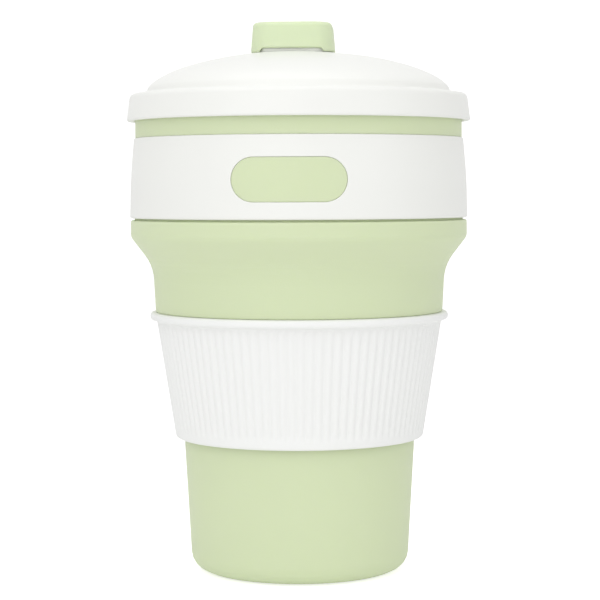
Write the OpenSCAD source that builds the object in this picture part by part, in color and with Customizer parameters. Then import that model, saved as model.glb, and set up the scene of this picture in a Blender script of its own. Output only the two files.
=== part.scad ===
// Collapsible travel cup: a soft cup body in three nesting tiers joined by two folds, with a rigid
// collar, a heat sleeve, a push-on lid with its seal, and a stopper. Millimetres, +Z up.
// The origin is the middle of the base, at the height of the table. The window faces -Y.

/* [Overall] */
// Outer diameter of the lid's brim
brim_d = 90; // [80:1:110]
// Gap in radius that lets one tier nest in the next, with the fold between them
nest_gap = 2.2; // [1.8:0.1:3]
// Wall of the soft body where it is thin enough to fold
fold_wall = 1; // [0.8:0.1:1.2]

/* [Base cup] */
// Height of the rigid part of the base cup
base_h = 43; // [40:1:55]
// How much narrower in radius the base is at its foot than at its top
base_taper = 1.6; // [0.5:0.1:4]
// Height at which the base reaches its full radius
base_full_z = 33; // [28:1:36]
// Radius of the corner round the foot
foot_round = 5; // [3:0.5:7]
// Wall of the base cup
base_wall = 1.8; // [1.5:0.1:2.5]
// Thickness of the floor
floor_t = 2.4; // [1.8:0.1:4]
// Radius of the shallow recess under the floor
recess_r = 18; // [12:1:20]
// Depth of that recess
recess_depth = 0.8; // [0.4:0.1:1.2]

/* [Middle tier] */
// Height of the fold between the base cup and the middle tier
lower_fold_h = 9; // [8:1:12]
// Height of the middle tier, part of it inside the sleeve
mid_h = 25.4; // [23:0.2:32]
// Bare height of the middle tier above the sleeve
mid_bare_h = 9.4; // [7:0.2:12]
// Depth of the ledge that the sleeve's lip stops under
ledge = 1.35; // [1.2:0.05:2.4]
// How much the middle tier narrows in radius from its top down to the ledge
mid_draft = 0.6; // [0.2:0.1:1]
// Wall of the middle tier above the ledge
mid_wall_t = 1.6; // [1.4:0.1:2.2]
// Wall of the middle tier inside the sleeve
mid_cone_wall = 1.2; // [1:0.1:1.6]

/* [Heat sleeve] */
// Height of the sleeve
sleeve_h = 33; // [26:0.2:36]
// Wall of the sleeve at the crest of its ribs
sleeve_wall = 1.45; // [1.2:0.05:2]
// How much the sleeve's radius narrows for each millimetre down
sleeve_slope = 0.158; // [0.1:0.002:0.17]
// Height of the plain lip
lip_h = 2.1; // [2:0.1:4]
// How far the lip stands out past the cone
lip_out = 1.35; // [0.8:0.05:1.4]
// Gap in radius between the sleeve and the cup
sleeve_gap = 0.15; // [0.1:0.05:0.2]

/* [Rim wall and shoulder] */
// Height of the fold between the middle tier and the shoulder band
shoulder_fold_h = 10.6; // [9:0.2:14]
// Height of the plain band under the collar
shoulder_band_h = 4.6; // [3:0.2:8]
// Wall of the shoulder band
shoulder_wall = 1.5; // [1.3:0.1:2.2]
// How far the shoulder band lies below the collar's bottom edge
band_inset = 0.2; // [0:0.05:0.4]
// Wall of the rim at its thick top bead
rim_wall_t = 2.2; // [2:0.1:3]
// Height of the rim band left bare between the collar and the brim
rim_bare_h = 4.4; // [2:0.1:8]
// Height of the rim that the lid covers
rim_covered_h = 5.4; // [4.8:0.1:8]

/* [Collar] */
// Height of the collar
collar_h = 20.8; // [17:0.1:28]
// Wall of the collar
collar_wall = 1.2; // [1:0.1:1.3]
// How much wider in radius the collar is at its bottom than at its top
collar_flare = 1.2; // [0.4:0.1:1.6]
// How far the collar's top stands out past the rim
collar_proud = 0.35; // [0:0.05:0.6]
// Radius that rounds the collar's bottom edge
collar_round = 0.9; // [0.3:0.1:1]
// Width of the oval window
window_w = 28.4; // [20:0.2:36]
// Height of the oval window
window_h = 11; // [8:0.2:13]
// How far the window's middle lies below the collar's middle
window_drop = 0.6; // [0:0.1:2]
// Gap round the pad in the window
window_gap = 0.2; // [0.1:0.05:0.4]

/* [Lid] */
// Wall of the brim's outer skirt
skirt_wall = 1.95; // [1.2:0.05:2.2]
// Gap in radius between the rim and the skirts that go round it and into it
lid_gap = 0.3; // [0.2:0.05:0.4]
// Height of the brim
brim_h = 7.1; // [6.6:0.1:10]
// How much the brim narrows in radius towards its top
brim_draft = 0.9; // [0.2:0.1:1]
// Radius of the brim's top corner
brim_round = 2; // [0.8:0.1:2.2]
// Width of the flat ring between the brim's corner and the dome
brim_flat_w = 5.2; // [4:0.1:7]
// Step up from the brim to the foot of the dome
dome_step = 0.6; // [0.3:0.1:1]
// Height of the dome above its foot
dome_h = 10.4; // [7:0.1:14]
// Wall of the dome
dome_wall = 1.6; // [1.4:0.1:2]
// Depth of the inner skirt below the top of the rim
inner_skirt_h = 5.2; // [5:0.1:6.4]
// Wall of the inner skirt
inner_skirt_wall = 1.6; // [1.4:0.1:2]
// Height of the seal ring
seal_h = 2; // [1.6:0.1:2.4]
// Depth of the seal's groove
groove_depth = 0.8; // [0.6:0.1:1]

/* [Drinking neck and stopper] */
// How far the neck stands off the lid's centre
neck_off = 1.2; // [0:0.1:6]
// Outer radius of the drinking neck
neck_r = 8.4; // [7:0.1:9.5]
// Radius of the drinking hole
hole_r = 5; // [4:0.1:6]
// Height of the neck above the top of the dome
neck_h = 3.8; // [3:0.1:5]
// Gap between the stopper and the neck
stopper_gap = 0.3; // [0.2:0.05:0.4]
// Gap in radius between the peg and the hole
peg_gap = 0.1; // [0.05:0.01:0.15]
// Width and depth of the stopper
stopper_w = 21.6; // [20:0.1:26]
// Radius of the stopper's upright corners
stopper_corner = 6; // [5:0.1:8]
// Thickness of the stopper's top
stopper_top_t = 3.4; // [2.4:0.1:5]
// Width of the rounded edge round the stopper's top
stopper_edge = 1.2; // [0.6:0.1:1.6]
// Width of the thumb arch in front
arch_w = 16.4; // [14:0.2:17.6]
// Height of the thumb arch
arch_h = 0.6; // [0.5:0.1:2]
// Length of the peg below the top of the neck
peg_len = 9; // [6:0.2:12]

/* [Hidden] */
$fn = 96;
soft_green = [0.86, 0.90, 0.76];
white_plastic = [0.96, 0.96, 0.95];
seal_white = [0.90, 0.90, 0.88];
fit = 0.05;        // gap between pieces of one body that sit tight on each other
arc_steps = 6;     // chords in a quarter-round corner
dome_power = 0.6;  // shape of the dome: 0.5 is an ellipse, more is flatter at its foot

// Heights, from the table up
base_top = base_h;
mid_bottom = base_top + lower_fold_h;
mid_top = mid_bottom + mid_h;
sleeve_top = mid_top - mid_bare_h;
sleeve_bottom = sleeve_top - sleeve_h;
ledge_z = sleeve_top + sleeve_gap;
band_bottom = mid_top + shoulder_fold_h;
collar_bottom = band_bottom + shoulder_band_h;
collar_top = collar_bottom + collar_h;
brim_bottom = collar_top + rim_bare_h;
rim_top = brim_bottom + rim_covered_h;
brim_top = brim_bottom + brim_h;
dome_foot = brim_top + dome_step;
dome_top = dome_foot + dome_h;
neck_top = dome_top + neck_h;
stopper_top = neck_top + stopper_gap + stopper_top_t;

// Radii, from the brim inwards
brim_r = brim_d / 2;
rim_r = brim_r - skirt_wall - lid_gap;
rim_in = rim_r - rim_wall_t;
collar_r = rim_r + collar_proud;
collar_low_r = collar_r + collar_flare;
collar_in = collar_r - collar_wall;
collar_low_in = collar_low_r - collar_wall;
band_r = collar_low_r - band_inset;
band_in = band_r - shoulder_wall;
mid_r = rim_in - nest_gap;
mid_ledge_r = mid_r - mid_draft;
mid_in = mid_r - mid_wall_t;
sleeve_in_top = mid_ledge_r - ledge;
cone_top_r = sleeve_in(ledge_z) - sleeve_gap;
cone_bottom_r = sleeve_in(mid_bottom) - sleeve_gap;
cone_bottom_in = cone_bottom_r - mid_cone_wall;
base_r = cone_bottom_in - nest_gap;
dome_r = brim_r - brim_flat_w;
inner_skirt_r = rim_in - lid_gap - 0.1;
inner_skirt_in = inner_skirt_r - inner_skirt_wall;
inner_skirt_bottom = rim_top - inner_skirt_h;
seal_bottom = inner_skirt_bottom + (inner_skirt_h - seal_h) / 2;
window_z = (collar_bottom + collar_top) / 2 - window_drop;
skirt_bottom = dome_z(neck_r + stopper_gap - neck_off, dome_r, dome_foot) + fit;

// Radius of the sleeve's bore at height z
function sleeve_in(z) = sleeve_in_top - sleeve_slope * (sleeve_top - z);

// Points of an arc round c, from angle a to angle b
function arc(c, r, a, b, n = arc_steps) =
    [for (i = [0 : n]) c + r * [cos(a + (b - a) * i / n), sin(a + (b - a) * i / n)]];

function ease(t) = t * t * (3 - 2 * t);

// The shoulder's outline: from the band (t = 1) in and down to the middle tier (t = 0)
function shoulder(t, in_r, out_r) =
    [in_r + (out_r - in_r) * ease(pow(t, 1.3)), mid_top + t * shoulder_fold_h];

// The dome's outline at radius r, for a dome of radius wide that starts at height foot
function dome_z(r, wide, foot) = foot + dome_h * pow(max(0, 1 - pow(r / wide, 2)), dome_power);

// Points along the dome from its foot to its middle, closer together near the foot
function dome_line(wide, foot, n = 14) =
    [for (i = [0 : n]) let (r = wide * cos(90 * i / n)) [r, dome_z(r, wide, foot)]];

function reversed(list) = [for (i = [len(list) - 1 : -1 : 0]) list[i]];

module turned(points) {
    rotate_extrude($fn = 180) polygon(points);
}

// A flat oval, w wide and h high, as an upright slab that crosses the wall at -Y
module oval_slab(w, h, z) {
    translate([0, 0, z]) rotate([90, 0, 0]) linear_extrude(brim_r + 5) {
        square([w - h, h], center = true);
        for (side = [-1, 1]) translate([side * (w - h) / 2, 0]) circle(d = h);
    }
}

// A square with round corners
module soft_square(w, corner) {
    square([w, w - 2 * corner], center = true);
    square([w - 2 * corner, w], center = true);
    for (x = [-1, 1], y = [-1, 1]) translate([x, y] * (w / 2 - corner)) circle(corner);
}

module base_cup() {
    foot_r = base_r - base_taper;
    inner_round = foot_round - base_wall;
    color(soft_green) turned(concat(
        [[0, recess_depth], [recess_r, recess_depth], [recess_r + recess_depth, 0]],
        arc([foot_r - foot_round, foot_round], foot_round, -90, 0),
        [[base_r, base_full_z], [base_r, base_top], [base_r - base_wall, base_top],
         [base_r - base_wall, base_full_z]],
        arc([foot_r - foot_round, floor_t + inner_round], inner_round, 0, -90),
        [[0, floor_t]]));
}

module lower_fold() {
    upper_r = base_r + 0.9 * nest_gap;
    lower_r = base_r + 0.6 * nest_gap;
    upper_z = mid_bottom - lower_fold_h / 4;
    lower_z = base_top + lower_fold_h / 4;
    color(soft_green) turned([
        [base_r, base_top], [lower_r, lower_z], [upper_r, upper_z], [cone_bottom_r, mid_bottom],
        [cone_bottom_in, mid_bottom], [upper_r - fold_wall, upper_z + fold_wall / 2],
        [lower_r - fold_wall, lower_z + fold_wall / 2], [base_r - base_wall, base_top]]);
}

module middle_wall() {
    corner = 1;
    color(soft_green) turned(concat(
        [[cone_bottom_in, mid_bottom], [cone_bottom_r, mid_bottom], [cone_top_r, ledge_z]],
        arc([mid_ledge_r - corner, ledge_z + corner], corner, -90, 0),
        [[mid_r, mid_top], [mid_in, mid_top], [mid_in - mid_draft, ledge_z + mid_wall_t + corner],
         [cone_top_r - mid_cone_wall, ledge_z - 1]]));
}

module heat_sleeve() {
    lip_r = sleeve_in_top + sleeve_wall + lip_out;
    cone_r = sleeve_in(sleeve_top - lip_h) + sleeve_wall;
    lip_round = 0.9;
    edge = 1.2;
    low_r = sleeve_in(sleeve_bottom) + sleeve_wall;
    color(white_plastic) turned(concat(
        [[sleeve_in(sleeve_bottom), sleeve_bottom]],
        arc([low_r - edge, sleeve_bottom + edge], edge, -90, 0),
        [[cone_r, sleeve_top - lip_h - 0.8]],
        arc([lip_r - lip_round, sleeve_top - lip_h + lip_round], lip_round, -60, 0),
        arc([lip_r - lip_round, sleeve_top - lip_round], lip_round, 0, 90),
        [[sleeve_in_top, sleeve_top]]));
}

module shoulder_fold() {
    steps = 12;
    outside = [for (i = [0 : steps]) shoulder(i / steps, mid_r, band_r)];
    inside = [for (i = [0 : steps]) shoulder(i / steps, mid_in, band_in)];
    color(soft_green) turned(concat(outside, reversed(inside)));
}

module rim_wall() {
    bead = 1.1;
    seat_low = collar_bottom - fit;
    seat_high = collar_top + fit;
    color(soft_green) {
        turned(concat(
            [[band_in, band_bottom], [band_r, band_bottom]],
            arc([band_r - 0.5, seat_low - 0.5], 0.5, 0, 90, 3),
            [[collar_low_in - fit, seat_low], [collar_in - fit, seat_high], [rim_r, seat_high]],
            arc([rim_r - bead, rim_top - bead], bead, 0, 90),
            [[rim_in, rim_top], [rim_in, collar_top], [collar_low_in - fold_wall, collar_bottom]]));
        intersection() {
            turned([
                [collar_in - fit - 0.5, collar_top], [collar_low_in - fit - 0.5, collar_bottom],
                [collar_low_r - 0.1, collar_bottom], [collar_r - 0.1, collar_top]]);
            oval_slab(window_w - 2 * window_gap, window_h - 2 * window_gap, window_z);
        }
    }
}

module collar() {
    top_round = 0.4;
    color(white_plastic) difference() {
        turned(concat(
            [[collar_low_in, collar_bottom]],
            arc([collar_low_r - collar_round, collar_bottom + collar_round], collar_round, -90, 0),
            arc([collar_r - top_round, collar_top - top_round], top_round, 0, 90, 3),
            [[collar_in, collar_top]]));
        oval_slab(window_w, window_h, window_z);
    }
}

module lid() {
    top_r = brim_r - brim_draft;
    lip = 0.4;
    ceiling = rim_top + 0.2;
    skirt_in = rim_r + lid_gap;
    dome_in = dome_r - dome_wall;
    groove_r = inner_skirt_r - groove_depth;
    color(white_plastic) difference() {
        union() {
            turned(concat(
                [[skirt_in, ceiling], [skirt_in, brim_bottom]],
                arc([brim_r - lip, brim_bottom + lip], lip, -90, 0, 3),
                arc([top_r - brim_round, brim_top - brim_round], brim_round, 0, 90),
                dome_line(dome_r, dome_foot),
                reversed(dome_line(dome_in, dome_foot - dome_wall)),
                [[inner_skirt_in, dome_foot - dome_wall], [inner_skirt_in, inner_skirt_bottom],
                 [inner_skirt_r - lip, inner_skirt_bottom], [inner_skirt_r, inner_skirt_bottom + lip],
                 [inner_skirt_r, ceiling]]));
            translate([-neck_off, 0, dome_top - dome_wall]) cylinder(h = neck_h + dome_wall, r = neck_r);
        }
        translate([-neck_off, 0, dome_foot]) cylinder(h = stopper_top - dome_foot, r = hole_r);
        difference() {
            translate([0, 0, seal_bottom - fit]) cylinder(h = seal_h + 2 * fit, r = inner_skirt_r + 0.2);
            translate([0, 0, seal_bottom - 1]) cylinder(h = seal_h + 2, r = groove_r);
        }
    }
}

module lid_seal() {
    ring_in = inner_skirt_r - groove_depth + fit;
    ring_out = rim_in - 0.1;
    lip = 0.5;
    color(seal_white) turned([
        [ring_in, seal_bottom], [ring_out - lip, seal_bottom], [ring_out, seal_bottom + seal_h / 2],
        [ring_out - lip, seal_bottom + seal_h], [ring_in, seal_bottom + seal_h]]);
}

module stopper() {
    cavity_top = neck_top + stopper_gap;
    edge_z = stopper_top - stopper_edge;
    color(soft_green) translate([-neck_off, 0, 0]) {
        difference() {
            union() {
                translate([0, 0, skirt_bottom]) linear_extrude(edge_z - skirt_bottom)
                    soft_square(stopper_w, stopper_corner);
                translate([0, 0, edge_z]) linear_extrude(stopper_edge)
                    soft_square(stopper_w - stopper_edge, stopper_corner - stopper_edge / 2);
            }
            translate([0, 0, skirt_bottom - 1])
                cylinder(h = cavity_top - skirt_bottom + 1, r = neck_r + stopper_gap);
            translate([-arch_w / 2, -stopper_w, skirt_bottom - 1])
                cube([arch_w, stopper_w, 1 + arch_h]);
        }
        translate([0, 0, neck_top - peg_len])
            cylinder(h = peg_len + stopper_gap + 1, r = hole_r - peg_gap);
    }
}

base_cup();
lower_fold();
middle_wall();
heat_sleeve();
shoulder_fold();
rim_wall();
collar();
lid();
lid_seal();
stopper();
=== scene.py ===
"""Looks of a collapsible travel cup: soft green body, white collar, ribbed sleeve, lid and stopper."""

import math

import bmesh
import bpy
import numpy as np
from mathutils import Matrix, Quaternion, Vector


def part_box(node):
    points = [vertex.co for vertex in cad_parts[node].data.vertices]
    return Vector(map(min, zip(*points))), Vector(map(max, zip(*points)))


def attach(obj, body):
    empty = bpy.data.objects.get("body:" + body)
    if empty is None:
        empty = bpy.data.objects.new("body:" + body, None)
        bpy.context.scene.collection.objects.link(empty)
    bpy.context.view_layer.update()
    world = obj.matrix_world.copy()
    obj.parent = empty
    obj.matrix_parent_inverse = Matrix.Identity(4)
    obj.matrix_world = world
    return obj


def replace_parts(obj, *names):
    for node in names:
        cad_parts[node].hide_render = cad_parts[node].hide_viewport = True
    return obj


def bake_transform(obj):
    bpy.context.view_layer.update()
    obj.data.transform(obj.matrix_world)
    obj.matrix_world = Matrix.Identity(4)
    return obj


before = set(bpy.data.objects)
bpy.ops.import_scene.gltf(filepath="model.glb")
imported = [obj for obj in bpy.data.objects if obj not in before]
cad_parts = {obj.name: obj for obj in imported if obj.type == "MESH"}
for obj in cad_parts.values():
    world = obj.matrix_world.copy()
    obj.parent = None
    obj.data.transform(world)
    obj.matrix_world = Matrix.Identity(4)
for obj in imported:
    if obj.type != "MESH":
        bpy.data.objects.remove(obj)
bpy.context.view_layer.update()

MM = 0.001
AROUND = 240  # steps round a turned piece
SUPPORT = 0.2  # a ring this far past each rounding keeps the next face flat


# ---------------------------------------------------------------- measures of the frame, in mm

def box_mm(node):
    low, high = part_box(node)
    return low / MM, high / MM


def radii_at(node, z, near=0.3):
    """The inner and outer radius of a CAD node's corners near height z."""
    corners = [v.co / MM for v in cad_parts[node].data.vertices]
    found = [math.hypot(c.x, c.y) for c in corners if abs(c.z - z) < near]
    return min(found), max(found)


base_top = box_mm("base_cup")[1].z
mid_bottom, mid_top = box_mm("middle_wall")[0].z, box_mm("middle_wall")[1].z
sleeve_low, sleeve_high = box_mm("heat_sleeve")[0].z, box_mm("heat_sleeve")[1].z
band_bottom = box_mm("shoulder_fold")[1].z
collar_low, collar_high = box_mm("collar")[0].z, box_mm("collar")[1].z
rim_top = box_mm("rim_wall")[1].z
brim_low, neck_top = box_mm("lid")[0].z, box_mm("lid")[1].z
seal_low, seal_high = box_mm("lid_seal")[0].z, box_mm("lid_seal")[1].z
peg_low, stopper_top = box_mm("stopper")[0].z, box_mm("stopper")[1].z

base_in, base_r = radii_at("base_cup", base_top)
cone_in, cone_r = radii_at("middle_wall", mid_bottom)
mid_in, mid_r = radii_at("middle_wall", mid_top)
sleeve_low_in = radii_at("heat_sleeve", sleeve_low, 0.05)[0]
sleeve_top_in = radii_at("heat_sleeve", sleeve_high, 0.05)[0]
band_in, band_r = radii_at("shoulder_fold", band_bottom)
collar_low_in, collar_low_r = radii_at("collar", collar_low, 1.0)
collar_in, collar_r = radii_at("collar", collar_high, 0.5)
rim_in = radii_at("rim_wall", collar_high, 0.02)[0]
rim_r = radii_at("rim_wall", collar_high + 0.05, 0.02)[1]
brim_r = box_mm("lid")[1].x
lip_r = box_mm("heat_sleeve")[1].x
stopper_mid = (box_mm("stopper")[0] + box_mm("stopper")[1]) / 2
stopper_w = box_mm("stopper")[1].x - box_mm("stopper")[0].x


# ---------------------------------------------------------------- outlines and meshes

def rounded(corners, closed=True, steps=5):
    """Points of an outline in mm through corners (r, z) or (r, z, fillet), each rounded by its fillet."""
    points = []
    for i, corner in enumerate(corners):
        here = Vector(corner[:2])
        if len(corner) < 3 or (not closed and i in (0, len(corners) - 1)):
            points.append(here)
            continue
        back = Vector(corners[i - 1][:2]) - here
        ahead = Vector(corners[(i + 1) % len(corners)][:2]) - here
        room = 0.49 * min(back.length, ahead.length)
        back_way, ahead_way = back.normalized(), ahead.normalized()
        half = back_way.angle(ahead_way) / 2
        if half > math.radians(89.5):
            points.append(here)
            continue
        reach = min(corner[2] / math.tan(half), room)
        radius = reach * math.tan(half)
        centre = here + (back_way + ahead_way).normalized() * (radius / math.sin(half))
        first = here + back_way * reach - centre
        last = here + ahead_way * reach - centre
        turn = math.atan2(first.x * last.y - first.y * last.x, first.dot(last))
        if reach + SUPPORT < 0.5 * back.length:
            points.append(here + back_way * (reach + SUPPORT))
        for k in range(steps + 1):
            c, s = math.cos(turn * k / steps), math.sin(turn * k / steps)
            points.append(centre + Vector((first.x * c - first.y * s, first.x * s + first.y * c)))
        if reach + SUPPORT < 0.5 * ahead.length:
            points.append(here + ahead_way * (reach + SUPPORT))
    return points


def split(points, longest, closed=True, fine=None):
    """The outline with extra points, so that no stretch is longer than longest, or fine[2] between
    the heights fine[0] and fine[1]."""
    made = []
    count = len(points)
    for i in range(count if closed else count - 1):
        a, b = points[i], points[(i + 1) % count]
        limit = longest
        if fine and min(a.y, b.y) < fine[1] and max(a.y, b.y) > fine[0]:
            limit = fine[2]
        pieces = max(1, math.ceil((b - a).length / limit))
        made += [a.lerp(b, k / pieces) for k in range(pieces)]
    return made if closed else made + [points[-1]]


def mesh_object(name, points, faces):
    """A smooth-shaded object from points in mm, with points that coincide joined into one."""
    mesh = bpy.data.meshes.new(name)
    mesh.from_pydata((np.asarray(points, float) * MM).tolist(), [], faces)
    shaped = bmesh.new()
    shaped.from_mesh(mesh)
    bmesh.ops.remove_doubles(shaped, verts=shaped.verts, dist=1e-7)
    bmesh.ops.recalc_face_normals(shaped, faces=shaped.faces)
    shaped.to_mesh(mesh)
    shaped.free()
    mesh.shade_smooth()
    piece = bpy.data.objects.new(name, mesh)
    bpy.context.scene.collection.objects.link(piece)
    return piece


def ring_faces(rings, around, closed):
    """Quads between neighbouring rings of points, ring after ring."""
    faces = []
    for i in range(rings if closed else rings - 1):
        low, high = i * around, (i + 1) % rings * around
        faces += [(low + j, low + (j + 1) % around, high + (j + 1) % around, high + j)
                  for j in range(around)]
    return faces


def turned(name, outline, around=AROUND, closed=True, form=None, shift=None):
    """A piece turned round the Z axis. form(r, z, angles) gives the radius at each angle, and
    shift(r) moves a ring along X."""
    angles = np.arange(around) * 2 * math.pi / around
    points = []
    for r, z in outline:
        radius = form(r, z, angles) if form else np.full(around, r)
        x = radius * np.sin(angles) + (shift(r) if shift else 0)
        points.append(np.stack([x, -radius * np.cos(angles), np.full(around, z)], axis=1))
    return mesh_object(name, np.concatenate(points), ring_faces(len(outline), around, closed))


def smooth_step(value, low, high):
    """0 up to low and 1 from high on, with a soft rise between them."""
    t = min(max((value - low) / (high - low), 0), 1)
    return t * t * (3 - 2 * t)


# ---------------------------------------------------------------- soft body

FOLD_SLOPE = 0.76  # how fast the shoulder widens as it rises
SHOULDER_FROM, SHOULDER_TO = band_bottom - 1.5, mid_top + 3.2  # heights where the fold bends
LOWER_FROM, LOWER_TO = base_top + 2.0, mid_bottom - 2.0


def cup_upper():
    """Rim, lining, shoulder fold and middle tier, down to the lower fold."""
    ledge_z = sleeve_high + 0.03
    cone_top = radii_at("middle_wall", sleeve_high + 0.15, 0.1)[1] - 0.1
    ledge_r = mid_r - 0.6
    fold_wall = 1.0
    brow_z, foot_z = band_bottom - 0.3, mid_top + 2.7
    brow_r = band_r + 0.03
    foot_r = brow_r - FOLD_SLOPE * (brow_z - foot_z)
    inner_brow_z = brow_z - (brow_r - fold_wall - band_in) / FOLD_SLOPE
    inner_foot_z = foot_z - (foot_r - fold_wall - mid_in) / FOLD_SLOPE
    seat_low, seat_high = collar_low - 0.55, collar_high + 0.02
    outside = [
        (cone_in, mid_bottom, 0.15), (cone_r, mid_bottom, 0.15), (cone_top, ledge_z, 0.4),
        (ledge_r, ledge_z, 0.35), (foot_r, foot_z, 12), (brow_r, brow_z, 2.6),
        (band_r, seat_low, 0.5), (collar_low_in - 0.05, seat_low, 0.2),
        (collar_in - 0.05, seat_high, 0.2), (rim_r, seat_high, 0.1), (rim_r, rim_top, 1.1)]
    inside = [
        (rim_in, rim_top, 1.1), (rim_in, collar_high, 8), (collar_low_in - 1, collar_low, 3),
        (band_in, band_bottom, 3), (band_in, inner_brow_z, 3), (mid_in, inner_foot_z, 8),
        (mid_in - 0.6, ledge_z + 2.6, 3), (cone_top - 1.2, ledge_z - 1, 1.5)]
    fine = (SHOULDER_TO - 0.5, SHOULDER_FROM + 0.5, 0.14)
    piece = turned("cup_upper", split(rounded(outside + inside), 3, fine=fine))
    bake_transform(piece)
    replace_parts(piece, "rim_wall", "shoulder_fold", "middle_wall")
    return piece


def cup_lower():
    """Base cup and lower fold, up to the middle tier inside the sleeve."""
    full_z = base_top - 10
    foot_r = base_r - 1.85
    floor_z = 2.4
    recess_r, recess_z = 18, 0.8
    low_r, high_r = base_r + 1.2, base_r + 1.8
    low_z, high_z = base_top + 2.2, mid_bottom - 2.2
    outline = [
        (0, recess_z), (recess_r, recess_z, 0.6), (recess_r + 0.9, 0, 0.5), (foot_r, 0, 4.6),
        (base_r, full_z, 30), (base_r, base_top, 2), (low_r, low_z, 2.5), (high_r, high_z, 2.5),
        (cone_r, mid_bottom, 0.15), (cone_in, mid_bottom, 0.15), (high_r - 1, high_z + 0.5, 2.5),
        (low_r - 1, low_z + 0.5, 2.5), (base_in, base_top, 2), (base_in, full_z, 30),
        (foot_r - 1.8, floor_z, 3.4), (0, floor_z)]
    fine = (LOWER_FROM - 0.5, LOWER_TO + 0.5, 0.2)
    piece = turned("cup_lower", split(rounded(outline, closed=False), 3, closed=False, fine=fine),
                   closed=False)
    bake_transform(piece)
    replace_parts(piece, "base_cup", "lower_fold")
    return piece


# ---------------------------------------------------------------- collar and its window

WINDOW_W, WINDOW_H = 28.4, 11.0
WINDOW_DROP = 0.6  # the window sits this far below the collar's middle
window_z = (collar_low + collar_high) / 2 - WINDOW_DROP
COLLAR_CROWN = 0.26


def collar_face(z):
    """The collar's outer radius at height z: a cone with a slight crown."""
    t = (z - collar_low) / (collar_high - collar_low)
    straight = collar_low_r + (collar_r - collar_low_r) * t
    return straight + COLLAR_CROWN * 4 * t * (1 - t) * min(1, 1.6 * t + 0.35)


def oval(width, height, count):
    """count points round a flat oval, from its right end, in four equal quarters of points."""
    r = height / 2
    flat = width / 2 - r
    quarter = math.pi * r / 2 + flat
    points = []
    for k in range(count // 4):
        s = quarter * 4 * k / count
        if s < math.pi * r / 2:
            points.append((flat + r * math.cos(s / r), r * math.sin(s / r)))
        else:
            points.append((flat - (s - math.pi * r / 2), r))
    second = [(-x, z) for x, z in [(0, r)] + points[:0:-1]]
    half = points + second
    return half + [(-x, -z) for x, z in half]


def oval_faces(first, count):
    """Faces across an oval whose points start at index first, with a triangle at each end."""
    middle = first + count // 2
    across = [(first + k, first + k + 1, first + count - k - 1, first + count - k)
              for k in range(1, count // 2 - 1)]
    return [(first, first + 1, first + count - 1)] + across + [(middle - 1, middle, middle + 1)]


def on_collar(x, z, depth):
    """The point in front at x and z, depth below the collar's face."""
    r = collar_face(z) - depth
    return (x, -math.sqrt(r * r - x * x), z)


def collar():
    """The collar: a turned ring whose front is rebuilt round the oval window."""
    wall = 1.2
    top_round, low_round = 0.4, 0.55
    rows = 16
    low_z, high_z = collar_low + 1.6, collar_high - 1.0
    face = [Vector((collar_face(z), z)) for z in np.linspace(low_z, high_z, rows + 1)]
    back = [Vector((p.x - wall, p.y)) for p in reversed(face)]
    low_edge = rounded([(face[0].x, low_z), (collar_low_r, collar_low, low_round),
                        (collar_low_in, collar_low, 0.2), (back[-1].x, low_z)], closed=False)
    high_edge = rounded([(face[-1].x, high_z), (collar_r, collar_high, top_round),
                         (collar_in, collar_high, 0.2), (back[0].x, high_z)], closed=False)
    outline = face + high_edge[1:-1] + back + low_edge[-2:0:-1]
    first_back = len(face) + len(high_edge) - 2

    angles = np.arange(AROUND) * 2 * math.pi / AROUND
    points = [(p.x * math.sin(a), -p.x * math.cos(a), p.y) for p in outline for a in angles]
    side = 15  # columns of the rebuilt patch on each side of the front
    low_row, high_row = 2, rows - 2
    wide, tall = 2 * side, high_row - low_row

    def in_patch(ring, column):
        front = (column + side) % AROUND < wide
        on_face = low_row <= ring < high_row
        on_back = first_back + rows - high_row <= ring < first_back + rows - low_row
        return front and (on_face or on_back)

    count = len(outline)
    faces = [(i * AROUND + j, i * AROUND + (j + 1) % AROUND,
              (i + 1) % count * AROUND + (j + 1) % AROUND, (i + 1) % count * AROUND + j)
             for i in range(count) for j in range(AROUND) if not in_patch(i, j)]

    right = [(side, low_row + tall // 2 + k) for k in range(tall // 2)]
    top = [(side - k, high_row) for k in range(wide)]
    left = [(-side, high_row - k) for k in range(tall)]
    bottom = [(-side + k, low_row) for k in range(wide)]
    right_low = [(side, low_row + k) for k in range(tall // 2)]
    edge = right + top + left + bottom + right_low
    loops = []
    for ring_of in (lambda row: row, lambda row: first_back + rows - row):
        loops.append([ring_of(row) * AROUND + column % AROUND for column, row in edge])

    roll, steps, spread = 0.22, 4, 5
    rings = []
    for k in range(1, spread):
        share = (k / spread) ** 0.8
        rings.append((share, roll, 0.0))
    for k in range(steps + 1):
        turn = math.pi / 2 * k / steps
        rings.append((1, roll * (1 - math.sin(turn)), roll * (1 - math.cos(turn))))
    rings.append((1, 0.0, wall))
    rings += [(share, 0.0, wall) for share, _, _ in reversed(rings[:spread - 1])]
    built = [loops[0]]
    for share, out, depth in rings:
        grown = oval(WINDOW_W + 2 * out, WINDOW_H + 2 * out, len(edge))
        loop = []
        for (column, row), (x, z) in zip(edge, grown):
            z_edge = face[row].y
            a_edge = column * 2 * math.pi / AROUND
            a_oval = math.asin(x / (collar_face(window_z + z) - depth))
            a = a_edge + (a_oval - a_edge) * share
            z_here = z_edge + (window_z + z - z_edge) * share
            r = collar_face(z_here) - depth
            points.append((r * math.sin(a), -r * math.cos(a), z_here))
            loop.append(len(points) - 1)
        built.append(loop)
    built.append(loops[1])
    for here, after in zip(built, built[1:]):
        n = len(here)
        faces += [(here[k], here[(k + 1) % n], after[(k + 1) % n], after[k]) for k in range(n)]
    piece = mesh_object("collar_ring", points, faces)
    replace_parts(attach(piece, "rim"), "collar")
    return piece


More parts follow.
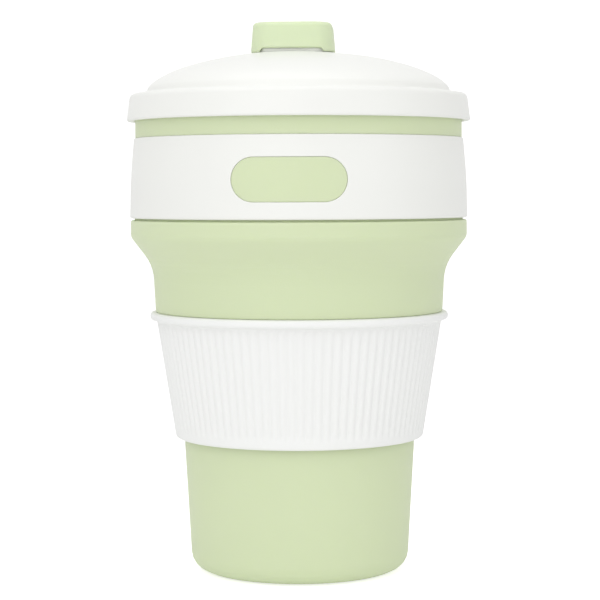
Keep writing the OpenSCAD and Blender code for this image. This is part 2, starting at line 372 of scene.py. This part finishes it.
def window_pad():
    """The oval pad of the soft body that fills the collar's window."""
    count, gap, roll, steps, inner_steps = 96, 0.02, 0.28, 5, 5
    width, height = WINDOW_W - 2 * gap, WINDOW_H - 2 * gap
    rings = [(0.0, 1.5)]
    for k in range(steps + 1):
        turn = math.pi / 2 * k / steps
        rings.append((roll * (1 - math.cos(turn)), 0.12 + roll * (1 - math.sin(turn))))
    rings += [(roll + (height / 2 - roll) * 0.98 * k / inner_steps, 0.12)
              for k in range(1, inner_steps + 1)]
    points = []
    for inset, depth in rings:
        points += [on_collar(x, window_z + z, depth)
                   for x, z in oval(width - 2 * inset, height - 2 * inset, count)]
    faces = ring_faces(len(rings), count, closed=False)
    faces += oval_faces((len(rings) - 1) * count, count)
    faces += oval_faces(0, count)
    piece = mesh_object("window_pad", points, faces)
    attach(piece, "rim")
    return piece


# ---------------------------------------------------------------- heat sleeve

RIBS = 96
RIB_DEPTH = 0.32
STEPS_PER_RIB = 10


def heat_sleeve():
    """A cone of fine upright ribs, with a plain rolled lip and a plain lower edge."""
    wall = 1.45
    slope = (sleeve_top_in - sleeve_low_in) / (sleeve_high - sleeve_low)
    lip_low = sleeve_high - 2.0

    def face(z):
        return sleeve_low_in + slope * (z - sleeve_low) + wall

    def form(r, z, angles):
        if r <= face(z) - 0.5 * wall:
            return np.full(len(angles), r)
        fade = smooth_step(z, sleeve_low + 1.5, sleeve_low + 4.0)
        fade *= 1 - smooth_step(z, lip_low - 1.3, lip_low - 0.4)
        groove = (0.5 - 0.5 * np.cos(angles * RIBS)) ** 1.4
        return r - RIB_DEPTH * fade * groove

    outline = rounded([
        (sleeve_low_in, sleeve_low, 0.3), (face(sleeve_low), sleeve_low, 1.1),
        (face(lip_low - 0.4), lip_low - 0.4, 0.5), (lip_r, lip_low + 0.2, 0.8),
        (lip_r, sleeve_high, 0.8), (sleeve_top_in, sleeve_high, 0.4)])
    rib_ends = (sleeve_low + 1, sleeve_low + 4.5, 0.6)
    piece = turned("heat_sleeve_ribbed", split(outline, 2.4, fine=rib_ends),
                   around=RIBS * STEPS_PER_RIB, form=form)
    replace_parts(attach(piece, "sleeve"), "heat_sleeve")
    return piece


# ---------------------------------------------------------------- lid, seal and stopper

DOME_POWER = 0.6  # 0.5 is a half ellipse, and more rises less steeply at the foot
NECK_R, HOLE_R = 8.4, 5.0
BRIM_W, BRIM_H, DOME_STEP, NECK_H = 5.2, 7.1, 0.6, 3.8
dome_r = brim_r - BRIM_W
brim_top = brim_low + BRIM_H
dome_foot = brim_top + DOME_STEP
dome_top = neck_top - NECK_H


def dome_z(r):
    """Height of the dome's outer face at radius r."""
    return dome_foot + (dome_top - dome_foot) * max(0, 1 - (r / dome_r) ** 2) ** DOME_POWER


skirt_low = dome_z(NECK_R + 0.3 + stopper_mid.x) + 0.05
SEAT_W, SEAT_CORNER = stopper_w - 2.0, 5.0  # a low square seat round the neck, under the stopper
seat_z = skirt_low + 0.7


def dome_points(wide, foot, rise, inner):
    """Points along a dome from its foot up to radius inner."""
    made = []
    last = math.acos(inner / wide)
    for k in range(29):
        r = wide * math.cos(last * k / 28)
        made.append((r, foot + rise * max(0, 1 - (r / wide) ** 2) ** DOME_POWER))
    return made


def lid_shell():
    """The lid in one moulding: neck, dome, brim, both skirts and the seal's groove."""
    wall = 1.6
    rise = dome_top - dome_foot
    ceiling = rim_top + 0.2
    skirt_in = rim_r + 0.3
    inner_r, inner_in, inner_low = rim_in - 0.4, rim_in - 2.0, rim_top - 5.2
    groove_r = inner_r - 0.8
    groove_low, groove_high = seal_low - 0.05, seal_high + 0.05
    outer_dome = dome_points(dome_r, dome_foot, rise, NECK_R + 0.9)
    outer_dome = [p for p in outer_dome if p[1] > brim_top + 1.6]
    inner_dome = dome_points(dome_r - wall, dome_foot - wall, rise, HOLE_R + 0.5)
    neck_foot = outer_dome[-1][1]
    outline = rounded(
        [(HOLE_R, neck_top, 0.6), (NECK_R, neck_top, 0.7), (NECK_R, neck_foot, 0.7)]
        + outer_dome[::-1]
        + [(dome_r + 0.2, brim_top, 1.6), (brim_r - 0.9, brim_top, 1.4), (brim_r, brim_low, 0.45),
           (skirt_in, brim_low, 0.4), (skirt_in, ceiling, 0.5), (inner_r, ceiling, 0.3),
           (inner_r, groove_high, 0.12), (groove_r, groove_high, 0.1), (groove_r, groove_low, 0.1),
           (inner_r, groove_low, 0.12), (inner_r, inner_low, 0.4), (inner_in, inner_low, 0.4),
           (inner_in, dome_foot - wall - 0.6, 1.2)]
        + inner_dome[1:] + [(HOLE_R, inner_dome[-1][1], 0.3)])

    def toward_neck(r):
        return stopper_mid.x * (1 - smooth_step(r, NECK_R + 1.5, NECK_R + 14))

    piece = turned("lid_shell", split(outline, 3), shift=toward_neck)
    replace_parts(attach(piece, "lid"), "lid")
    return piece


def seal_ring():
    """The seal, a ring with a soft nose that bears on the rim."""
    inner, outer = radii_at("lid_seal", seal_low)[0], box_mm("lid_seal")[1].x
    outline = rounded([(inner, seal_low, 0.15), (outer - 0.5, seal_low, 0.3),
                       (outer, (seal_low + seal_high) / 2, 0.3), (outer - 0.5, seal_high, 0.3),
                       (inner, seal_high, 0.15)])
    piece = turned("seal_ring", outline)
    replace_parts(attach(piece, "lid"), "lid_seal")
    return piece


def soft_square(width, corner, count):
    """count points round a square with round corners, centred on the stopper, from the front."""
    half = width / 2
    corner = min(corner, half)
    flat = half - corner
    eighth = flat + corner * math.pi / 4
    points = []
    for k in range(count):
        s = (k / count * 8) % 8
        side, along = divmod(s + 1, 2)
        t = (along - 1) * eighth
        if abs(t) <= flat:
            p = Vector((t, -half))
        else:
            a = (abs(t) - flat) / corner
            p = Vector((math.copysign(flat + corner * math.sin(a), t),
                        -half + corner * (1 - math.cos(a))))
        c, sn = math.cos(side * math.pi / 2), math.sin(side * math.pi / 2)
        points.append((p.x * c - p.y * sn, p.x * sn + p.y * c))
    return points


def neck_seat():
    """A low seat with round corners, which stands on the dome under the stopper."""
    count, edge = 128, 0.25
    levels = [(0, dome_top - 1.0), (0, seat_z - edge)]
    levels += [(edge * (1 - math.cos(a)), seat_z - edge * (1 - math.sin(a)))
               for a in (math.pi / 8, math.pi / 4, 3 * math.pi / 8, math.pi / 2)]
    points = []
    for inset, z in levels:
        points += [(x + stopper_mid.x, y, z)
                   for x, y in soft_square(SEAT_W - 2 * inset, SEAT_CORNER - inset, count)]
    for z in (seat_z, dome_top - 1.0):
        turns = [2 * math.pi * k / count for k in range(count)]
        points += [(NECK_R * math.sin(t) + stopper_mid.x, -NECK_R * math.cos(t), z) for t in turns]
    piece = mesh_object("neck_seat", points, ring_faces(len(levels) + 2, count, closed=True))
    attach(piece, "lid")
    return piece


def stopper_cap():
    """A soft cap over the neck, cut up in a shallow arch in front, with a peg down the hole."""
    count = 192
    corner, edge, low_edge = 6.0, 1.1, 0.45
    draft = 0.5  # how much narrower the walls are at the top
    arch_w, arch_h = 16.4, 0.6
    cavity_r, cavity_top = NECK_R + 0.3, neck_top + 0.3
    peg_r = HOLE_R - 0.1
    rings = []  # (points, height, how far the front arch lifts it)

    def square_ring(inset, z, lift):
        rings.append((soft_square(stopper_w - 2 * inset, max(corner - inset, 1.0), count), z, lift))

    def round_ring(r, z, lift=0):
        turn = 2 * math.pi / count
        rings.append(([(r * math.sin(k * turn), -r * math.cos(k * turn)) for k in range(count)], z, lift))

    for share in np.linspace(0.03, 0.92, 7):
        round_ring(share * (stopper_w / 2 - edge - 1.2), stopper_top - 0.1 - 0.12 * share ** 2)
    square_ring(draft + edge + 0.3, stopper_top - 0.25, 0)
    for k in range(7):
        turn = math.pi / 2 * k / 6
        square_ring(draft + edge * (1 - math.sin(turn)), stopper_top - 0.27 - edge * (1 - math.cos(turn)), 0)
    wall_high, wall_low = stopper_top - 0.27 - edge, skirt_low + low_edge
    for share in (0.05, 0.35, 0.65):
        square_ring(draft * (1 - share), wall_high + (wall_low - wall_high) * share, 0)
    for share, lift in ((0.8, 0.25), (0.9, 0.65), (0.97, 0.95), (1.0, 1)):
        square_ring(draft * (1 - share), wall_high + (wall_low - wall_high) * share, lift)
    for k in range(1, 5):
        turn = math.pi / 2 * k / 4
        square_ring(low_edge * (1 - math.cos(turn)), wall_low - low_edge * math.sin(turn), 1)
    hole_inset = (stopper_w - SEAT_W) / 2 - 0.12
    square_ring(hole_inset - 0.15, skirt_low, 1)
    square_ring(hole_inset, skirt_low + 0.12, 1)
    square_ring(hole_inset, seat_z + 0.22, 0.2)
    round_ring(cavity_r, seat_z + 0.25, 0.2)
    round_ring(cavity_r, skirt_low + 1.6)
    round_ring(cavity_r, cavity_top - 0.4)
    round_ring(cavity_r - 0.4, cavity_top)
    round_ring(peg_r + 0.4, cavity_top)
    round_ring(peg_r, cavity_top - 0.4)
    for share in (0.3, 0.6):
        round_ring(peg_r, cavity_top + (peg_low - cavity_top) * share)
    peg_round = 1.2
    for k in range(5):
        turn = math.pi / 2 * k / 4
        round_ring(peg_r - peg_round * (1 - math.cos(turn)), peg_low + peg_round * (1 - math.sin(turn)))
    round_ring(0.0, peg_low)

    points = []
    for outline, z, lift in [([(0, 0)] * count, stopper_top - 0.1, 0)] + rings:
        for x, y in outline:
            front = smooth_step(-y, 2, 5)
            arch = max(0, 1 - (abs(x) / (arch_w / 2)) ** 36)
            droop = dome_z(math.hypot(x + stopper_mid.x, y)) + 0.08 - skirt_low
            low = front * arch * arch_h + (1 - front * arch) * min(0, droop)
            points.append((x + stopper_mid.x, y + stopper_mid.y, z + lift * low))
    piece = mesh_object("stopper_cap", points, ring_faces(len(rings) + 1, count, closed=False))
    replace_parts(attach(piece, "stopper"), "stopper")
    return piece


# ---------------------------------------------------------------- shader groups

def add(tree, kind, inputs=None, **settings):
    """A new node with its settings and the values of its inputs."""
    node = tree.nodes.new(kind)
    for key, value in settings.items():
        setattr(node, key, value)
    for key, value in (inputs or {}).items():
        node.inputs[key].default_value = value
    return node


def group(name, sockets):
    """A new shader group with its named sockets, as (tree, input node, output node)."""
    tree = bpy.data.node_groups.new(name, "ShaderNodeTree")
    for label, direction, kind, value in sockets:
        socket = tree.interface.new_socket(label, in_out=direction, socket_type="NodeSocket" + kind)
        if value is not None:
            socket.default_value = value
    return tree, tree.nodes.new("NodeGroupInput"), tree.nodes.new("NodeGroupOutput")


def place_noise(tree, scale_from, detail):
    """A noise texture on the piece's own coordinates, its scale from a socket."""
    place = tree.nodes.new("ShaderNodeTexCoord")
    noise = add(tree, "ShaderNodeTexNoise", {"Detail": detail, "Roughness": 0.55})
    tree.links.new(place.outputs["Object"], noise.inputs["Vector"])
    tree.links.new(scale_from, noise.inputs["Scale"])
    return noise


def tint_drift():
    """A colour that drifts a little lighter and darker across a moulding."""
    tree, given, out = group("Tint drift", [
        ("Color", "INPUT", "Color", None), ("Amount", "INPUT", "Float", 0.03),
        ("Scale", "INPUT", "Float", 60), ("Color", "OUTPUT", "Color", None)])
    noise = place_noise(tree, given.outputs["Scale"], 3)
    centre = add(tree, "ShaderNodeMath", {1: 0.5}, operation="SUBTRACT")
    sized = add(tree, "ShaderNodeMath", operation="MULTIPLY")
    value = add(tree, "ShaderNodeMath", {1: 1.0}, operation="ADD")
    shade = add(tree, "ShaderNodeHueSaturation")
    tree.links.new(noise.outputs["Fac"], centre.inputs[0])
    tree.links.new(centre.outputs[0], sized.inputs[0])
    tree.links.new(given.outputs["Amount"], sized.inputs[1])
    tree.links.new(sized.outputs[0], value.inputs[0])
    tree.links.new(value.outputs[0], shade.inputs["Value"])
    tree.links.new(given.outputs["Color"], shade.inputs["Color"])
    tree.links.new(shade.outputs["Color"], out.inputs["Color"])
    return tree


def painted_crevice_shade():
    """Painted shade: a colour that darkens towards a second one where ambient occlusion finds narrow joins
    and grooves.
    """
    tree, given, out = group("Crevice shade", [
        ("Color", "INPUT", "Color", None), ("Crevice", "INPUT", "Color", None),
        ("Reach", "INPUT", "Float", 0.002), ("Amount", "INPUT", "Float", 0.5),
        ("Color", "OUTPUT", "Color", None)])
    # ambient occlusion drives the painted shade in joins and grooves
    hidden = add(tree, "ShaderNodeAmbientOcclusion", samples=8, only_local=True)
    covered = add(tree, "ShaderNodeMath", {0: 1.0}, operation="SUBTRACT")
    sized = add(tree, "ShaderNodeMath", operation="MULTIPLY", use_clamp=True)
    blend = add(tree, "ShaderNodeMix", data_type="RGBA")
    tree.links.new(given.outputs["Reach"], hidden.inputs["Distance"])
    tree.links.new(hidden.outputs["AO"], covered.inputs[1])
    tree.links.new(covered.outputs[0], sized.inputs[0])
    tree.links.new(given.outputs["Amount"], sized.inputs[1])
    tree.links.new(sized.outputs[0], blend.inputs[0])
    tree.links.new(given.outputs["Color"], blend.inputs[6])
    tree.links.new(given.outputs["Crevice"], blend.inputs[7])
    tree.links.new(blend.outputs[2], out.inputs["Color"])
    return tree


def gloss_drift():
    """A roughness that varies in soft patches, as a handled moulding's does."""
    tree, given, out = group("Gloss drift", [
        ("Roughness", "INPUT", "Float", 0.5), ("Amount", "INPUT", "Float", 0.1),
        ("Scale", "INPUT", "Float", 120), ("Roughness", "OUTPUT", "Float", None)])
    noise = place_noise(tree, given.outputs["Scale"], 4)
    centre = add(tree, "ShaderNodeMath", {1: 0.5}, operation="SUBTRACT")
    sized = add(tree, "ShaderNodeMath", operation="MULTIPLY_ADD")
    tree.links.new(noise.outputs["Fac"], centre.inputs[0])
    tree.links.new(centre.outputs[0], sized.inputs[0])
    tree.links.new(given.outputs["Amount"], sized.inputs[1])
    tree.links.new(given.outputs["Roughness"], sized.inputs[2])
    tree.links.new(sized.outputs[0], out.inputs["Roughness"])
    return tree


def mould_grain():
    """The fine spark-eroded grain that a mould leaves, with a slower ripple under it."""
    tree, given, out = group("Mould grain", [
        ("Grain scale", "INPUT", "Float", 3000), ("Ripple scale", "INPUT", "Float", 150),
        ("Ripple", "INPUT", "Float", 0.5), ("Height", "OUTPUT", "Float", None)])
    grain = place_noise(tree, given.outputs["Grain scale"], 2)
    ripple = place_noise(tree, given.outputs["Ripple scale"], 1)
    total = add(tree, "ShaderNodeMath", operation="MULTIPLY_ADD")
    tree.links.new(ripple.outputs["Fac"], total.inputs[0])
    tree.links.new(given.outputs["Ripple"], total.inputs[1])
    tree.links.new(grain.outputs["Fac"], total.inputs[2])
    tree.links.new(total.outputs[0], out.inputs["Height"])
    return tree


GROUPS = {make.__name__: make() for make in (tint_drift, painted_crevice_shade, gloss_drift, mould_grain)}


def moulded(name, color, crevice, roughness, grain, bump, constants,
            drift=0.03, dark=0.45, ripple=0.6):
    """A moulded material: tint drift and painted shade in joins and grooves, patchy gloss, and the mould's
    grain.
    """
    material = bpy.data.materials.new(name)
    material.use_nodes = True
    tree = material.node_tree
    shader = tree.nodes["Principled BSDF"]
    for label, value in constants.items():
        shader.inputs[label].default_value = value

    def placed(key, inputs):
        return add(tree, "ShaderNodeGroup", inputs, node_tree=GROUPS[key])

    tint = placed("tint_drift", {"Color": (*color, 1), "Amount": drift, "Scale": 45})
    # painted shade: the colour darkens towards the second colour in joins and grooves that ambient occlusion
    # finds
    painted_shade = placed("painted_crevice_shade", {"Crevice": (*crevice, 1), "Reach": 0.0022, "Amount": dark})
    gloss = placed("gloss_drift", {"Roughness": roughness, "Amount": 0.12, "Scale": 90})
    surface = placed("mould_grain", {"Grain scale": grain, "Ripple scale": 140, "Ripple": ripple})
    height = add(tree, "ShaderNodeBump", {"Strength": bump, "Distance": 0.0001})
    tree.links.new(tint.outputs["Color"], painted_shade.inputs["Color"])
    tree.links.new(painted_shade.outputs["Color"], shader.inputs["Base Color"])
    tree.links.new(gloss.outputs["Roughness"], shader.inputs["Roughness"])
    tree.links.new(surface.outputs["Height"], height.inputs["Height"])
    tree.links.new(height.outputs["Normal"], shader.inputs["Normal"])
    return material


def paint(piece, material):
    """Give the whole piece one material."""
    piece.data.materials.clear()
    piece.data.materials.append(material)


# each finish's second colour is the painted shade it darkens to in joins and grooves
GREEN, STOPPER_GREEN, GREEN_PAINTED_SHADE = (0.66, 0.74, 0.487), (0.69, 0.785, 0.525), (0.40, 0.50, 0.20)
SEAL_GREY, SEAL_PAINTED_SHADE = (0.80, 0.80, 0.76), (0.5, 0.5, 0.46)
WHITE, SLEEVE_WHITE, WHITE_PAINTED_SHADE = (0.855, 0.86, 0.83), (0.885, 0.89, 0.88), (0.55, 0.55, 0.52)
soft = {"Subsurface Weight": 0.2, "Subsurface Radius": (0.9, 1.0, 0.6), "Subsurface Scale": 0.002,
        "Specular IOR Level": 0.35, "Sheen Weight": 0.12, "Sheen Roughness": 0.4}
hard = {"Specular IOR Level": 0.45, "IOR": 1.49}


def green_silicone():
    return moulded("Green silicone", GREEN, GREEN_PAINTED_SHADE, roughness=0.56, grain=2600, bump=0.25,
                   constants=soft, dark=0.6)


def stopper_silicone():
    return moulded("Stopper silicone", STOPPER_GREEN, GREEN_PAINTED_SHADE, roughness=0.52, grain=2600,
                   bump=0.22, constants=soft, dark=0.25)


def seal_silicone():
    return moulded("Seal silicone", SEAL_GREY, SEAL_PAINTED_SHADE, roughness=0.45, grain=2600, bump=0.2,
                   constants=soft)


def white_plastic():
    return moulded("White plastic", WHITE, WHITE_PAINTED_SHADE, roughness=0.38, grain=4200, bump=0.10,
                   constants=hard, drift=0.012, dark=0.12)


def sleeve_plastic():
    return moulded("Sleeve plastic", SLEEVE_WHITE, WHITE_PAINTED_SHADE, roughness=0.44, grain=4200,
                   bump=0.12, constants=hard, drift=0.012, dark=0.6, ripple=0.1)


# ---------------------------------------------------------------- room, lights and camera

LAMPS = (("key", (-0.28, -0.85, 0.60), 0.9, 2.65),  # name, place, width and watts
         ("fill", (0.75, -0.6, 0.45), 0.8, 0.9),
         ("top", (-0.04, -0.15, 1.0), 1.0, 3.4))
LAMPS_AIM = (0, 0, 0.08)
FLOOR_HALF, FLOOR_DROP = 3.0, 0.0003
GLOW, SEEN_GLOW = 0.2, 0.42  # the floor's own light, and what the lens sees on top of it
SKY, SEEN_SKY = 0.58, 1.15  # what lights the cup, and what the lens sees behind it
MIRRORED = 0.7  # how much of the seen sky a glossy face mirrors


def white_floor():
    """A plain white floor, which the lens sees a little brighter than it lights the cup."""
    size = FLOOR_HALF
    mesh = bpy.data.meshes.new("floor")
    corners = [(-size, -size, 0), (size, -size, 0), (size, size, 0), (-size, size, 0)]
    mesh.from_pydata(corners, [], [(0, 1, 2, 3)])
    floor = bpy.data.objects.new("floor", mesh)
    floor.location.z = -FLOOR_DROP
    bpy.context.scene.collection.objects.link(floor)
    material = bpy.data.materials.new("Floor")
    material.use_nodes = True
    tree = material.node_tree
    shader = tree.nodes["Principled BSDF"]
    shader.inputs["Base Color"].default_value = (0.8, 0.8, 0.8, 1)
    shader.inputs["Roughness"].default_value = 0.9
    shader.inputs["Emission Color"].default_value = (1, 1, 1, 1)
    seen = tree.nodes.new("ShaderNodeLightPath")
    glow = add(tree, "ShaderNodeMath", {1: SEEN_GLOW, 2: GLOW}, operation="MULTIPLY_ADD")
    tree.links.new(seen.outputs["Is Camera Ray"], glow.inputs[0])
    tree.links.new(glow.outputs[0], shader.inputs["Emission Strength"])
    floor.data.materials.append(material)


def white_sky():
    """An even white sky, dimmer as a light than the lens and glossy faces see it."""
    world = bpy.data.worlds.new("Studio")
    world.use_nodes = True
    bpy.context.scene.world = world
    tree = world.node_tree
    sky = tree.nodes["Background"]
    seen = add(tree, "ShaderNodeBackground", {"Color": (1, 1, 1, 1), "Strength": SEEN_SKY})
    sky.inputs["Color"].default_value = (1, 1, 1, 1)
    sky.inputs["Strength"].default_value = SKY
    ray, pick = tree.nodes.new("ShaderNodeLightPath"), tree.nodes.new("ShaderNodeMixShader")
    bright = add(tree, "ShaderNodeMath", {1: MIRRORED}, operation="MULTIPLY_ADD")
    tree.links.new(ray.outputs["Is Glossy Ray"], bright.inputs[0])
    tree.links.new(ray.outputs["Is Camera Ray"], bright.inputs[2])
    tree.links.new(bright.outputs[0], pick.inputs[0])
    tree.links.new(sky.outputs[0], pick.inputs[1])
    tree.links.new(seen.outputs[0], pick.inputs[2])
    tree.links.new(pick.outputs[0], tree.nodes["World Output"].inputs["Surface"])


def lamps():
    """A broad key light from the upper left, a weaker one from the right, and one from above."""
    for name, place, width, watts in LAMPS:
        light = bpy.data.lights.new(name, "AREA")
        light.size, light.energy = width, watts
        lamp = bpy.data.objects.new(name, light)
        lamp.location = place
        aim = Vector(LAMPS_AIM) - Vector(place)
        lamp.rotation_euler = aim.to_track_quat("-Z", "Y").to_euler()
        bpy.context.scene.collection.objects.link(lamp)
    bpy.context.scene.view_settings.view_transform = "Standard"


def camera():
    """A long lens a little above the cup's middle, a few degrees round to its right."""
    distance, height, round_to = 509.9 * MM, 100.1 * MM, math.radians(3.2)
    aim = Vector((0.24, 0, 70.8)) * MM
    lean = math.radians(-0.2)
    data = bpy.data.cameras.new("camera")
    data.sensor_width, data.lens = 36, 116
    view = bpy.data.objects.new("camera", data)
    view.location = (distance * math.sin(round_to), -distance * math.cos(round_to), height)
    facing = (aim - view.location).to_track_quat("-Z", "Y")
    view.rotation_euler = (facing @ Quaternion((0, 0, 1), lean)).to_euler()
    bpy.context.scene.collection.objects.link(view)
    bpy.context.scene.camera = view


green, white = green_silicone(), white_plastic()
FINISHES = ((cup_upper, green), (cup_lower, green), (window_pad, green), (collar, white),
            (heat_sleeve, sleeve_plastic()), (lid_shell, white), (neck_seat, white),
            (seal_ring, seal_silicone()), (stopper_cap, stopper_silicone()))
for make, finish in FINISHES:
    paint(make(), finish)
white_floor()
white_sky()
lamps()
camera()
